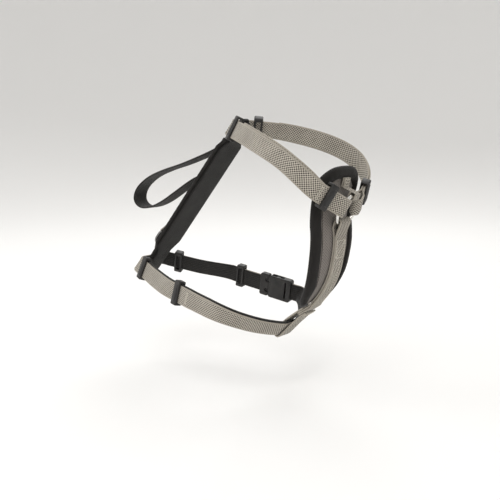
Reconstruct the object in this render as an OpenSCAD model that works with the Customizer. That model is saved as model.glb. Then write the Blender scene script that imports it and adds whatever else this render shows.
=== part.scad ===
// No pull dog harness in its worn shape: a neck strap and a girth strap joined by a padded back
// strip and a padded chest shield, with a leash ring on the chest and another on the back.
// +X is the dog's front, +Y its left and +Z up. The origin is the middle of the dog's torso.

/* [Webbing] */
// Width of the neck, girth and sternum webbing
webbing_w = 20; // [15:1:25]
// Thickness of one layer of webbing
webbing_t = 1.8; // [1.2:0.1:2.4]
// Width of the handle webbing
handle_w = 22; // [15:1:26]

/* [Fit on the dog] */
// Half the width of the neck opening
neck_half_w = 64; // [50:1:80]
// Half the width of the girth opening
girth_half_w = 70; // [56:1:86]
// Length of the padded back strip
back_l = 232; // [226:1:250]

/* [Back strip] */
// Width of the back strip
back_w = 40; // [34:1:50]
// Thickness of the back strip
back_t = 8; // [5:0.5:10]

/* [Chest shield] */
// Width of the padded border
border_w = 12; // [8:0.5:15]
// Thickness of the padded border
border_t = 8; // [5:0.5:10]
// Thickness of the mesh panel
panel_t = 4; // [3:0.5:5]

/* [Hardware] */
// Wire diameter of the chest ring
ring_wire = 4; // [3:0.1:5]
// Least radius of the chest ring to the middle of its wire. Wider webbing makes it larger
ring_least_r = 17; // [16:0.5:22]
// Wire diameter of the back D ring
d_wire = 3.5; // [3:0.1:4]
// Length of a strap slider along the strap
slider_l = 10; // [8:0.5:12]
// Thickness of a slider's outer bar
slider_bar = 2.6; // [2:0.1:3.5]
// Width of the side rails of a slider
slider_rail = 2.6; // [2:0.1:4]
// Thickness of the buckle
buckle_t = 9; // [8:0.5:12]

/* [Hidden] */
$fn = 48;

// Gaps between pieces
layer_gap = 0.3;
slide_gap = 0.4;
// Sideways step that leaves the under layer's edge showing
under_step = 1.5;
// Distance from the middle of a doubled strap to the middle of one layer
layer_off = (webbing_t + layer_gap) / 2;
// Thickness of a doubled strap
doubled_t = 2 * webbing_t + layer_gap;
// Steps of a strap's bend
bend_steps = 4;

// ---- vectors, routes and ribbons ----

function unit(v) = v / norm(v);
function square_to(v, t) = unit(v - (v * t) * t);
function mix(a, b, f) = a * (1 - f) + b * f;

// A route bends at its points. Each leg between them stays exactly straight, but for the reach
// of the bends at its ends. A station is [place, direction, width axis].
function leg(p, i) = unit(p[i + 1] - p[i]);
function reach_on(p, reach, i) = min(reach[i], norm(p[i + 1] - p[i]) / 2.04);
function bend_station(p, ax, reach, i, f) =
    let (a = p[i] - reach_on(p, reach, i - 1) * leg(p, i - 1))
    let (b = p[i] + reach_on(p, reach, i) * leg(p, i))
    [
        mix(mix(a, p[i], f), mix(p[i], b, f), f),
        unit(mix(p[i] - a, b - p[i], f)),
        mix(ax[i - 1], ax[i], f)
    ];
function route(p, ax, reach) = [
    [p[0], leg(p, 0), ax[0]],
    for (i = [1 : len(p) - 2]) for (k = [0 : bend_steps]) bend_station(p, ax, reach, i, k / bend_steps),
    [p[len(p) - 1], leg(p, len(p) - 2), ax[len(p) - 2]]
];

// A section of a ribbon is [middle, width direction, outward direction].
function layer(stations, off, step = 0) = [
    for (s = stations)
        let (w = square_to(s[2], s[1]))
        let (n = cross(s[1], w))
        [s[0] + off * n + step * w, w, n]
];
function corners(s, w, t) = [
    s[0] - w / 2 * s[1] - t / 2 * s[2],
    s[0] + w / 2 * s[1] - t / 2 * s[2],
    s[0] + w / 2 * s[1] + t / 2 * s[2],
    s[0] - w / 2 * s[1] + t / 2 * s[2]
];

// Skin of a row of rings, each ring a list of n points
module skin(rings, closed = false) {
    n = len(rings[0]);
    m = len(rings);
    last = closed ? m - 1 : m - 2;
    points = [for (r = rings) for (q = r) q];
    sides = [
        for (j = [0 : last]) for (i = [0 : n - 1])
            let (a = j * n + i, b = j * n + (i + 1) % n)
            let (c = ((j + 1) % m) * n + i, d = ((j + 1) % m) * n + (i + 1) % n)
            each [[a, d, b], [a, c, d]]
    ];
    ends = closed ? [] : [
        for (i = [1 : n - 2]) [0, i, i + 1],
        for (i = [1 : n - 2]) let (o = (m - 1) * n) [o, o + i + 1, o + i]
    ];
    polyhedron(points, concat(sides, ends), convexity = 10);
}

module ribbon(sections, w = webbing_w, t = webbing_t) {
    skin([for (s = sections) corners(s, w, t)]);
}

// Places children in a strap's own axes: X along it, Y across it and Z outward
module on_leg(p, ax, i, along) {
    t = leg(p, i);
    w = square_to(ax[i], t);
    n = cross(t, w);
    o = p[i] + along * t;
    multmatrix([
        [t[0], w[0], n[0], o[0]],
        [t[1], w[1], n[1], o[1]],
        [t[2], w[2], n[2], o[2]],
        [0, 0, 0, 1]
    ]) children();
}

// ---- back strip ----

// Middle of the strip's top end, and its direction down the spine
back_top = [-19, 0, 117];
back_dir = unit([-0.64, 0, -0.768]);
back_out = [back_dir[2], 0, -back_dir[0]];
function on_back(along, off) = back_top + along * back_dir + off * back_out;
back_face = back_t / 2;
spine_axis = [0, 1, 0];

module back_frame(along, off) {
    o = on_back(along, off);
    multmatrix([
        [back_dir[0], 0, back_out[0], o[0]],
        [0, -1, 0, 0],
        [back_dir[2], 0, back_out[2], o[2]],
        [0, 0, 0, 1]
    ]) children();
}

lining_t = 2;
// Narrow ends of the strip, where the neck and girth straps cross it
tongue_w = 18;
tongue_l = 14;
tail_w = 26;
tail_l = 42;
slope_l = 12;
module strip(t, inset) {
    r = 3;
    translate([0, 0, -t / 2]) linear_extrude(t) {
        for (end = [[inset - 12, tongue_w], [back_l - inset - 2 * r, tail_w]])
            for (side = [-1, 1])
                translate([end[0] + r, side * (end[1] / 2 - r - inset)]) circle(r);
        translate([inset - 12, inset + r - tongue_w / 2]) square([6, tongue_w - 2 * inset - 2 * r]);
        translate([back_l - inset - r, inset + r - tail_w / 2]) square([r, tail_w - 2 * inset - 2 * r]);
        polygon([
            for (side = [-1, 1]) let (x = [
                [inset - 12 + r, tongue_w], [tongue_l, tongue_w], [tongue_l + slope_l, back_w],
                [back_l - tail_l - slope_l, back_w], [back_l - tail_l, tail_w], [back_l - inset - r, tail_w]
            ]) for (i = [0 : 5]) let (q = side < 0 ? x[i] : x[5 - i]) [q[0], side * (q[1] / 2 - inset)]
        ]);
    }
}
module back_pad() {
    color("#26241f") back_frame(0, lining_t / 2) strip(back_t - lining_t, 0);
}
module back_pad_lining() {
    color("#3a3733") back_frame(0, -back_t / 2 + lining_t / 2) strip(lining_t, 1.5);
}

// The spine webbing is sewn on the strip and folds round the D ring's bar
d_bar = 168;
d_off = back_face + layer_gap + webbing_t + slide_gap + d_wire / 2;
fold_off = d_wire / 2 + slide_gap + webbing_t / 2;
spine_start = 94;
fold_steps = 8;
module spine_strap() {
    low = back_face + layer_gap + webbing_t / 2;
    straight = [
        for (s = [spine_start, d_bar]) [on_back(s, low), spine_axis, -back_out]
    ];
    turn = [
        for (k = [1 : fold_steps])
            let (a = -90 + 180 * k / fold_steps)
            let (n = cos(a) * back_dir + sin(a) * back_out)
            [on_back(d_bar, d_off) + fold_off * n, spine_axis, n]
    ];
    back = [
        [on_back(d_bar - 16, low + webbing_t + layer_gap), spine_axis, back_out],
        [on_back(spine_start + 2, low + webbing_t + layer_gap), spine_axis, back_out]
    ];
    color("#b9b3a9") ribbon(concat(straight, turn, back));
}

// ---- D ring ----

d_half = webbing_w / 2 + 3;
d_leg = 8;
module d_ring() {
    color("#8d8a84") back_frame(d_bar, d_off) {
        rotate([90, 0, 0]) cylinder(h = 2 * d_half, d = d_wire, center = true);
        for (side = [-1, 1]) {
            translate([0, side * d_half, 0]) rotate([0, 90, 0]) cylinder(h = d_leg, d = d_wire);
            translate([0, side * d_half, 0]) sphere(d = d_wire);
        }
        translate([d_leg, 0, 0]) rotate(-90) rotate_extrude(angle = 180)
            translate([d_half, 0]) circle(d = d_wire);
    }
}

// ---- handle ----

// Height of the handle's swing axis above the strip's middle
swing_off = back_face + 7;
handle_axis = [0, 1, 0];
handle_bend = 20;
handle_from = 46;
handle_to = 88;
handle_points = [
    on_back(handle_from, swing_off + webbing_t), [-101, 0, 75], [-128, 0, 68], [-156, 0, 58],
    [-177, 0, 43], [-182, 0, 27], [-168, 0, 18], [-140, 0, 25], on_back(handle_to, swing_off + webbing_t)
];
handle_axes = [for (i = [0 : 7]) handle_axis];
module handle() {
    reach = [for (i = [0 : 7]) handle_bend];
    color("#1e1b19") ribbon(layer(route(handle_points, handle_axes, reach), 0), handle_w);
}

// Each anchor lies on the strip and lifts to where the handle starts
module handle_anchor(from, to, rise) {
    low = back_face + layer_gap + webbing_t / 2;
    points = [on_back(from, low), on_back(mix(from, to, 0.5), low), on_back(to, rise)];
    color("#1e1b19") ribbon(layer(route(points, [handle_axis, handle_axis], [8, 8]), 0), handle_w);
}
module handle_anchor_upper() {
    handle_anchor(handle_from - 28, handle_from - 2, swing_off - 1);
}
module handle_anchor_lower() {
    handle_anchor(handle_to - 26, handle_to - 2.5, swing_off - 1);
}

back_pad();
back_pad_lining();
spine_strap();
d_ring();
handle();
handle_anchor_upper();
handle_anchor_lower();

// ---- chest ring ----

ring_r = max(ring_least_r, 0.85 * webbing_w);
// The ring's plane leans forward at its top
ring_lean = 25;
ring_up = [sin(ring_lean), 0, cos(ring_lean)];
ring_out = [cos(ring_lean), 0, -sin(ring_lean)];
// The ring's lowest point rests on the strap in front of this place on the shield
ring_seat = [109.3715, 0, 22.1986];
ring_at = ring_seat + (ring_wire / 2 + webbing_t) * ring_out + ring_r * ring_up;
// Angle above level at which the neck straps pull the ring
ring_pull = 21;
module chest_ring() {
    color("#e6e2da") translate(ring_at) rotate([0, 90 + ring_lean, 0])
        rotate_extrude() translate([ring_r, 0]) circle(d = ring_wire);
}

// Depth of the ring's curve inside a strap's fold, and the fold's room round the wire
function sag(w) = ring_r - sqrt(ring_r * ring_r - w * w / 4);
ring_sag = sag(webbing_w);
ring_fold = ring_wire / 2 + 0.6 + webbing_t / 2;
// The neck strap leaves the ring at a slant, so its fold is looser
neck_fold = ring_fold + 0.9;

// ---- neck strap ----

neck_axis = [0.515, 0, 0.857];
ring_tangent = [cos(ring_pull) * ring_up[0], sin(ring_pull), cos(ring_pull) * ring_up[2]];
ring_end = ring_at + (ring_r - ring_sag) * [
    sin(ring_pull) * ring_up[0], -cos(ring_pull), sin(ring_pull) * ring_up[2]
];
// The strap's straight last leg, from the ring back to the strap's last bend
last_neck_leg = [-8.08, -37.17, 18.53];
withers_half = 8;
withers_at = 4;
strap_on_pad = back_face + layer_gap + webbing_t + layer_gap / 2;
neck_start = on_back(withers_at, strap_on_pad) - [0, withers_half, 0];
neck_points = [
    neck_start, [12, -38, 113], [50, -0.9 * neck_half_w, 103], [80, -neck_half_w, 91],
    [101, -0.97 * neck_half_w, 76], ring_end + last_neck_leg, ring_end
];
neck_axes = [
    -back_dir, neck_axis, neck_axis, neck_axis, mix(neck_axis, ring_tangent, 0.5), ring_tangent
];
neck_reach = [13, 30, 30, 30, 30, 8];
neck_legs = len(neck_points) - 1;

// The strap runs to the ring, folds round it and comes back underneath
module neck_strap() {
    stations = route(neck_points, neck_axes, neck_reach);
    n = len(stations);
    end = stations[n - 1];
    w = square_to(end[2], end[1]);
    out = cross(end[1], w);
    spread = end[0] - (ring_sag + ring_wire) * end[1];
    outer = layer([for (i = [0 : n - 2]) stations[i]], layer_off);
    near = [spread - 8 * end[1] + layer_off * out, w, out];
    far = [spread - 8 * end[1] - layer_off * out, w, -out];
    turn = [
        [spread + neck_fold * out, w, out],
        for (k = [0 : fold_steps])
            let (a = 90 - 180 * k / fold_steps)
            let (d = cos(a) * end[1] + sin(a) * out)
            [end[0] + neck_fold * d, w, d],
        [spread - neck_fold * out, w, -out]
    ];
    under = [
        for (i = [n - 2 : -1 : 2])
            let (u = layer([stations[i]], -layer_off, under_step * min(1, (n - 2 - i) / 4))[0])
            [u[0], u[1], -u[2]]
    ];
    color("#b9b3a9") ribbon(concat(outer, [near], turn, [far], under));
}
module neck_strap_right() { neck_strap(); }
module neck_strap_left() { mirror([0, 1, 0]) neck_strap(); }

// A short doubled patch over the withers joins the two sides of the neck strap
module withers_patch() {
    half = withers_half - 2;
    middle = on_back(withers_at, strap_on_pad);
    sections = [for (y = [-half, half]) [middle + [0, y, 0], back_dir, back_out]];
    color("#b9b3a9") ribbon(sections, webbing_w, doubled_t);
}

// ---- sliders ----

tunnel_w = webbing_w + under_step + 2 * slide_gap + 0.4;
tunnel_t = doubled_t + 2 * slide_gap;
slider_w = tunnel_w + 2 * slider_rail;
slider_under = 1.8;
// Length along the strap of each thin bar underneath
under_bar = 2.5;
slider_t = tunnel_t + slider_bar + slider_under;
// A slider is a frame round the doubled strap, with a thick rounded bar outside
// and two thin bars underneath
module slider() {
    r = 1;
    low = -tunnel_t / 2 - slider_under;
    color("#1d1c1a") translate([0, under_step / 2, 0]) difference() {
        translate([0, slider_w / 2, 0]) rotate([90, 0, 0]) linear_extrude(slider_w) {
            translate([-slider_l / 2, low + r]) square([slider_l, slider_t - 2 * r]);
            translate([-slider_l / 2 + r, low]) square([slider_l - 2 * r, slider_t]);
            for (x = [-1, 1]) for (z = [low + r, low + slider_t - r])
                translate([x * (slider_l / 2 - r), z]) circle(r);
        }
        cube([slider_l + 2, tunnel_w, tunnel_t], center = true);
        translate([0, 0, low])
            cube([slider_l - 2 * under_bar, tunnel_w - 3, 2 * slider_under], center = true);
    }
}
shoulder_at = 20;
chest_at = 26;
module shoulder_slider_right() { on_leg(neck_points, neck_axes, 0, shoulder_at) slider(); }
module shoulder_slider_left() { mirror([0, 1, 0]) shoulder_slider_right(); }
module chest_slider_right() {
    last_leg_l = norm(neck_points[neck_legs] - neck_points[neck_legs - 1]);
    on_leg(neck_points, neck_axes, neck_legs - 1, last_leg_l - chest_at) slider();
}
module chest_slider_left() { mirror([0, 1, 0]) chest_slider_right(); }

// ---- girth strap ----

girth_axis = [0.69, 0, 0.72];
girth_at = 219;
girth_middle = on_back(girth_at, strap_on_pad);
girth_corner = girth_middle - [0, tail_w / 2 + 9, 0];
girth_points = [
    girth_middle, girth_corner, [-116, -0.6 * girth_half_w, -57], [-84, -0.8 * girth_half_w, -61],
    [-30, -0.98 * girth_half_w, -68], [12, -girth_half_w, -77], [36, -0.66 * girth_half_w, -89],
    [46, -14, -98], [46, -layer_gap, -98]
];
girth_axes = [-back_dir, for (i = [1 : 7]) girth_axis];
girth_reach = [8, 8, 30, 8, 30, 30, 30, 5];
girth_left_points = [
    girth_middle, girth_corner, [-116, -0.6 * girth_half_w, -57], [-84, -0.8 * girth_half_w, -61],
    [20, -girth_half_w, -79], [38, -0.66 * girth_half_w, -90], [46, -14, -98], [46, -layer_gap, -98]
];
girth_left_axes = [-back_dir, for (i = [1 : 6]) girth_axis];
girth_left_reach = [8, 8, 30, 8, 30, 30, 5];
buckle_leg = 3;

// Stations before the buckle's leg, and those after it
rear_count = 1 + buckle_leg * (bend_steps + 1);
left_stations = route(girth_left_points, girth_left_axes, girth_left_reach);
rear_stations = [for (i = [0 : rear_count - 1]) left_stations[i]];
front_stations = [for (i = [rear_count : len(left_stations) - 1]) left_stations[i]];
module girth_strap_right() {
    color("#b9b3a9") ribbon(layer(route(girth_points, girth_axes, girth_reach), layer_off));
}
module girth_backing_right() {
    color("#1e1b19") ribbon(layer(route(girth_points, girth_axes, girth_reach), -layer_off, under_step));
}

// Stations along the straight leg that carries the buckle
function on_buckle_leg(s) =
    let (p = girth_left_points)
    [p[buckle_leg] + s * leg(p, buckle_leg), leg(p, buckle_leg), girth_axis];
buckle_leg_l = norm(girth_left_points[buckle_leg + 1] - girth_left_points[buckle_leg]);
rear_end = 29.5;
module girth_strap_left() {
    s = concat(rear_stations, [on_buckle_leg(rear_end)]);
    color("#b9b3a9") mirror([0, 1, 0]) ribbon(layer(s, layer_off));
}
module girth_backing_left() {
    s = concat(rear_stations, [on_buckle_leg(rear_end)]);
    color("#1e1b19") mirror([0, 1, 0]) ribbon(layer(s, -layer_off, under_step));
}
module girth_strap_left_middle() {
    s = [on_buckle_leg(rear_end + 0.5), on_buckle_leg(mouth_at - plate_l + 4.5)];
    color("#b9b3a9") mirror([0, 1, 0]) ribbon(layer(s, 0), webbing_w, doubled_t);
}
module girth_strap_left_front() {
    s = concat([on_buckle_leg(mouth_at + 22.5)], front_stations);
    color("#b9b3a9") mirror([0, 1, 0]) ribbon(layer(s, 0), webbing_w, doubled_t);
}

back_slider_at = 22;
side_slider_at = 26;
side_left_at = 19;
module back_slider_right() { on_leg(girth_points, girth_axes, 1, back_slider_at) slider(); }
module back_slider_left() {
    mirror([0, 1, 0]) on_leg(girth_left_points, girth_left_axes, 1, back_slider_at) slider();
}
module side_slider_right() { on_leg(girth_points, girth_axes, 3, side_slider_at) slider(); }
module side_slider_left() {
    mirror([0, 1, 0]) on_leg(girth_left_points, girth_left_axes, 3, side_left_at) slider();
}

// ---- side release buckle, on the left of the girth strap ----

buckle_w = webbing_w + 8;
wall = 1.8;
housing_l = 30;
arm_l = 19;
arm_w = 3;
arm_t = 4;
arm_y = 6.5;
arm_gap = 0.8;
plate_l = 12;
cavity_w = buckle_w - 2 * wall;
cavity_t = buckle_t - 2 * wall;
// The housing's mouth, measured along the buckle's leg
mouth_at = buckle_leg_l - 20 + 4 - housing_l;
module buckle_frame(at) {
    mirror([0, 1, 0]) on_leg(girth_left_points, girth_left_axes, buckle_leg, at) children();
}
module rounded_plate(l, w, t, r) {
    translate([0, 0, -t / 2]) linear_extrude(t) {
        translate([0, -w / 2 + r]) square([l, w - 2 * r]);
        translate([r, -w / 2]) square([l - 2 * r, w]);
        for (x = [r, l - r]) for (y = [-w / 2 + r, w / 2 - r]) translate([x, y]) circle(r);
    }
}
// Room for a doubled strap
module strap_way(l) {
    translate([0, -webbing_w / 2 - 0.5, -webbing_t - 0.7]) cube([l, webbing_w + 1, 2 * webbing_t + 1.4]);
}
// The housing is open along both sides of its mouth, where the arms' heads sit
head_from = 13;
module buckle_housing() {
    color("#1d1c1a") buckle_frame(mouth_at) difference() {
        rounded_plate(housing_l, buckle_w, buckle_t, 3);
        translate([-1, -cavity_w / 2, -cavity_t / 2]) cube([21, cavity_w, cavity_t]);
        translate([-1, -buckle_w, -cavity_t / 2]) cube([20, 2 * buckle_w, cavity_t]);
        translate([22, -webbing_w / 2 - 0.5, -buckle_t]) cube([2.2, webbing_w + 1, 2 * buckle_t]);
        translate([22, 0, 0]) strap_way(housing_l);
    }
}
// The insert's plate takes the strap, and a middle tongue guides it into the housing
module buckle_insert() {
    color("#1d1c1a") buckle_frame(mouth_at - 0.3) difference() {
        union() {
            translate([-plate_l, 0, 0]) rounded_plate(plate_l, buckle_w, buckle_t - 2, 2.5);
            translate([-2, -2, -arm_t / 2]) cube([20, 4, arm_t]);
        }
        translate([-plate_l - 1, 0, 0]) strap_way(6);
        for (side = [-1, 1]) {
            translate([-2.5, side * arm_y, 0])
                cylinder(h = 2 * buckle_t, d = arm_w + 2 * arm_gap, center = true);
            translate([-2.5, side * arm_y - arm_w / 2 - arm_gap, -buckle_t])
                cube([4, arm_w + 2 * arm_gap, 2 * buckle_t]);
        }
    }
}
module buckle_arm(side) {
    out = buckle_w / 2;
    color("#1d1c1a") buckle_frame(mouth_at - 0.3) translate([0, 0, -arm_t / 2]) linear_extrude(arm_t)
        mirror([0, side > 0 ? 0 : 1]) {
            translate([-2.5, arm_y]) circle(d = arm_w);
            translate([-2.5, arm_y - arm_w / 2]) square([arm_l, arm_w]);
            polygon([
                [head_from - 4, arm_y], [arm_l - 3, arm_y], [arm_l - 3, arm_y + arm_w / 2],
                [head_from + 1, out - 1], [head_from - 4, out - 0.4]
            ]);
        }
}
module buckle_arm_upper() { buckle_arm(1); }
module buckle_arm_lower() { buckle_arm(-1); }

// ---- chest shield ----

// Height, forward place and half width of the shield, from its point to its top
shield = [
    [-67, 80, 19], [-56, 90, 25], [-45, 98, 30], [-28, 105.5, 34.5], [-4, 110, 36.5],
    [12, 110.5, 36.5], [24, 109, 36.5], [40, 110.5, 37], [52, 113, 37.5], [60, 115.5, 37.5],
    [69, 117.5, 34], [76, 119, 25], [80, 120, 12]
];
shield_low = shield[0][0];
depth_table = [for (s = shield) [s[0], s[1] - border_t / 2]];
width_table = [for (s = shield) [s[0], s[2]]];
// Curve of the shield round the chest
chest_bend = 0.0042;
function face_x(y, z) = lookup(z, depth_table) - chest_bend * y * y;
function face_out(y, z) =
    let (rise = (lookup(z + 4, depth_table) - lookup(z - 4, depth_table)) / 8)
    unit([1, 2 * chest_bend * y, -rise]);
outline = [
    for (s = shield) [face_x(s[2], s[0]), -s[2], s[0]],
    for (i = [len(shield) - 1 : -1 : 0]) [face_x(shield[i][2], shield[i][0]), shield[i][2], shield[i][0]]
];
border_half = border_w / 2;
// The border's section is an eight-sided ring, a little larger than its oval
ring_sides = 8;
ring_swell = 1.05;
module chest_pad_border() {
    n = len(outline);
    rings = [
        for (i = [0 : n - 1])
            let (t = unit(outline[min(i + 1, n - 1)] - outline[max(i - 1, 0)]))
            let (out = square_to(face_out(outline[i][1], outline[i][2]), t))
            let (side = cross(t, out))
            let (narrow = lookup(outline[i][2], [[shield_low, 0.32], [-45, 1]]))
            [
                for (k = [0 : ring_sides - 1])
                    let (a = 22.5 + 360 * k / ring_sides)
                    outline[i] + side * border_half * narrow * (1 - cos(a) * ring_swell)
                        + out * (border_t / 2 * ring_swell) * sin(a)
            ]
    ];
    color("#2b2826") skin(rings);
}

panel_cols = 8;
// Rate at which the panel's top corners are trimmed to the border's arc
top_trim = 1.1;
module shield_sheet(low, high, inset, front, thick) {
    rows = [for (z = [low : (high - low) / 12 : high + 0.01]) z];
    rings = [
        for (z = rows)
            let (trim = front > 0 ? max(0, z - 58) * top_trim : 0)
            let (h = max(2, lookup(z, width_table) - inset - trim))
            let (front_row = [
                for (i = [0 : panel_cols])
                    let (y = h * (2 * i / panel_cols - 1))
                    [face_x(y, z), y, z] + front * face_out(y, z)
            ])
            let (back_row = [
                for (i = [panel_cols : -1 : 0])
                    let (y = h * (2 * i / panel_cols - 1))
                    [face_x(y, z), y, z] + (front - thick) * face_out(y, z)
            ])
            concat(front_row, back_row)
    ];
    skin(rings);
}
panel_gap = 1.6;
module chest_pad_panel() {
    color("#837b77") shield_sheet(-44, 66, border_w + panel_gap, panel_t / 2, panel_t);
}
module chest_pad_lining() {
    color("#3a3733") shield_sheet(-58, 74, 5, -border_t / 2 - 0.4, 1.6);
}

// ---- sternum strap and top tab, both looped round the chest ring ----

strap_lift = panel_t / 2 + layer_gap + webbing_t / 2 + 0.6;
tab_w = 0.42 * webbing_w;
// Share of the fold's room left where the two layers come together
pinch = 0.88;
function on_shield(z, off) = [face_x(0, z), 0, z] + off * face_out(0, z);
side_axis = [0, -1, 0];
// A loop round the ring's top (1) or bottom (-1): from the pad, round the wire, and back
module ring_loop(end, pad_points, w) {
    c = ring_at + end * (ring_r - sag(w) - slide_gap) * ring_up;
    past = c + end * (sag(w) + ring_wire / 2 + 2) * ring_up;
    turn = [
        for (k = [0 : fold_steps])
            let (a = -90 + 180 * k / fold_steps)
            let (d = -end * cos(a) * ring_up + sin(a) * ring_out)
            [c + ring_fold * d, end * side_axis, d]
    ];
    n = len(pad_points);
    inner = [for (p = pad_points) [p[0], end * side_axis, -p[1]]];
    outer = [for (i = [n - 1 : -1 : 0])
        [pad_points[i][0] + (webbing_t + layer_gap) * pad_points[i][1], end * side_axis, pad_points[i][1]]];
    lower = [past - pinch * ring_fold * ring_out, end * side_axis, -ring_out];
    upper = [past + ring_fold * ring_out, end * side_axis, ring_out];
    ribbon(concat(inner, [lower], turn, [upper], outer), w);
}
// The tab is sewn from the border's lower edge down to this height above the ring's middle
tab_top = 68;
tab_rise = 25;
module chest_top_tab() {
    points = [for (z = [tab_top, ring_at[2] + tab_rise]) [on_shield(z, strap_lift), face_out(0, z)]];
    color("#b9b3a9") ring_loop(1, points, tab_w);
}
module sternum_strap() {
    points = [
        [[66.5, 0, -78], unit([0.8, 0, -0.8])],
        for (z = [-67, -56, -45, -28, -14, 0, 8]) [on_shield(z, strap_lift), face_out(0, z)]
    ];
    color("#b9b3a9") ring_loop(-1, points, webbing_w);
}

// The belly loop carries the girth strap at the sternum strap's lower end
module belly_loop() {
    p = girth_points[len(girth_points) - 1];
    t = unit([0.7, 0, 0.714]);
    n = [t[2], 0, -t[0]];
    r = webbing_t + layer_gap + slide_gap + webbing_t / 2 + 0.7;
    h = webbing_w / 2 + 2;
    path = [
        p + (h + 14) * t + (r - 0.2) * n, p + (h - 1) * t + r * n, p - (h - 1) * t + r * n,
        p - (h + 1.5) * t, p - (h - 1) * t - r * n, p + (h - 1) * t - r * n,
        p + (h + 14) * t - (r - 2.4) * n
    ];
    axes = [for (i = [0 : 5]) side_axis];
    color("#b9b3a9") ribbon(layer(route(path, axes, [for (i = [0 : 5]) 5]), 0), webbing_w, webbing_t);
}

chest_pad_panel();
chest_pad_border();
chest_pad_lining();
chest_top_tab();
sternum_strap();
belly_loop();
chest_ring();
neck_strap_right();
neck_strap_left();
withers_patch();
shoulder_slider_right();
shoulder_slider_left();
chest_slider_right();
chest_slider_left();
girth_strap_right();
girth_backing_right();
girth_strap_left();
girth_backing_left();
girth_strap_left_middle();
girth_strap_left_front();
back_slider_right();
back_slider_left();
side_slider_right();
side_slider_left();
buckle_housing();
buckle_insert();
buckle_arm_upper();
buckle_arm_lower();
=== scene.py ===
from math import cos, pi, radians, sin, sqrt

import bpy
import numpy as np
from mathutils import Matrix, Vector


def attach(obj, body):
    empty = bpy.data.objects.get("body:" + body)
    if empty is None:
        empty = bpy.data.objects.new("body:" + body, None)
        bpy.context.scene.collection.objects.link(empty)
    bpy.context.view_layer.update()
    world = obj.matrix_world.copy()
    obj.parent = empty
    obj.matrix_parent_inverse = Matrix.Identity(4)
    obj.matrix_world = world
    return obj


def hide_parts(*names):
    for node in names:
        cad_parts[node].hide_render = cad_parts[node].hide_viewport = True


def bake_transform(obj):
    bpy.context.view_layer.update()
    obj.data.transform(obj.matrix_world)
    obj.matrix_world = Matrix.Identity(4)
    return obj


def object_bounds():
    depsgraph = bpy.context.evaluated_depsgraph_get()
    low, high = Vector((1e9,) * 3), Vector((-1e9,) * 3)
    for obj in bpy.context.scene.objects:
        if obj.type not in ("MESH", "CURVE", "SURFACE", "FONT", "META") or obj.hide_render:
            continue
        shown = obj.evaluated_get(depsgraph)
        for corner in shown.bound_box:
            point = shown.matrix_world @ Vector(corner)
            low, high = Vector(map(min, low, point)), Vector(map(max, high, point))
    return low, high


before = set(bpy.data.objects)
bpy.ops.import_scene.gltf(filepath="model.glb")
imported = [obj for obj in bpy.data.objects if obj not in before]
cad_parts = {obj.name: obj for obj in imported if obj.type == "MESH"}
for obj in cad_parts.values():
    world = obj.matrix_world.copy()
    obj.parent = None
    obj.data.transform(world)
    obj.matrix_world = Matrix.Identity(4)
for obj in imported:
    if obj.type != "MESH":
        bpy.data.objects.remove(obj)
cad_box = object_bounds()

# ---- camera, floor and light ----
# A plain pale studio sweep. The camera looks at the harness from the dog's right and front,
# a little above level, as at a product on a stand.

view_azimuth = radians(38)
view_height = radians(9.5)
view_distance = 0.875
aim = Vector((-0.0077, 0.0025, -0.0184))
to_camera = Vector((
    sin(view_azimuth) * cos(view_height),
    -cos(view_azimuth) * cos(view_height),
    sin(view_height),
))
camera_data = bpy.data.cameras.new("studio_camera")
camera_data.lens = 55.8
camera_data.sensor_width = 36
camera = bpy.data.objects.new("studio_camera", camera_data)
camera.location = aim + view_distance * to_camera
camera.rotation_euler = (-to_camera).to_track_quat("-Z", "Y").to_euler()
bpy.context.collection.objects.link(camera)
bpy.context.scene.camera = camera
bpy.context.scene.view_settings.view_transform = "Standard"


def softbox(name, place, size, power):
    lamp = bpy.data.lights.new(name, "AREA")
    lamp.shape = "SQUARE"
    lamp.size = size
    lamp.energy = power
    box = bpy.data.objects.new(name, lamp)
    box.location = place
    box.rotation_euler = (aim - Vector(place)).to_track_quat("-Z", "Y").to_euler()
    bpy.context.collection.objects.link(box)


softbox("key_softbox", place=(0.7, -1.2, 1.5), size=1.3, power=17)
softbox("left_softbox", place=(-1.4, -0.9, 0.8), size=1.2, power=9)
softbox("back_softbox", place=(-0.5, 1.1, 1.3), size=1.2, power=11)

world = bpy.data.worlds.new("studio_sky")
world.use_nodes = True
sky = world.node_tree.nodes["Background"]
sky.inputs["Color"].default_value = (1, 0.99, 0.975, 1)
sky.inputs["Strength"].default_value = 0.80
bpy.context.scene.world = world

floor_size = 18
floor_steps = 90
floor_gap = 0.06
floor_height = cad_box[0][2] - floor_gap
level_radius = 1.5
sweep_curve = 0.16


def fresh_primitive(add, name, **size):
    """Adds a primitive on its own, with nothing else selected, and names it."""
    bpy.ops.object.select_all(action="DESELECT")
    add(**size)
    piece = bpy.context.active_object
    piece.name = name
    piece.data.name = name
    return piece


floor = fresh_primitive(bpy.ops.mesh.primitive_grid_add, "studio_floor", x_subdivisions=floor_steps,
                        y_subdivisions=floor_steps, size=floor_size)
for corner in floor.data.vertices:
    beyond = max(0.0, corner.co.xy.length - level_radius)
    corner.co.z = floor_height + sweep_curve * beyond * beyond
for face in floor.data.polygons:
    face.use_smooth = True
floor_paint = bpy.data.materials.new("pale_floor")
floor_paint.use_nodes = True
floor_shader = floor_paint.node_tree.nodes["Principled BSDF"]
floor_shader.inputs["Base Color"].default_value = (0.86, 0.855, 0.845, 1)
floor_shader.inputs["Roughness"].default_value = 0.9
floor.data.materials.append(floor_paint)


# ---- back strip ----
# A strip of foam in black knitted cloth, bound round its edge, with a soft lining on the dog's
# side. Its narrow ends pass under the neck strap and the girth strap.

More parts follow.
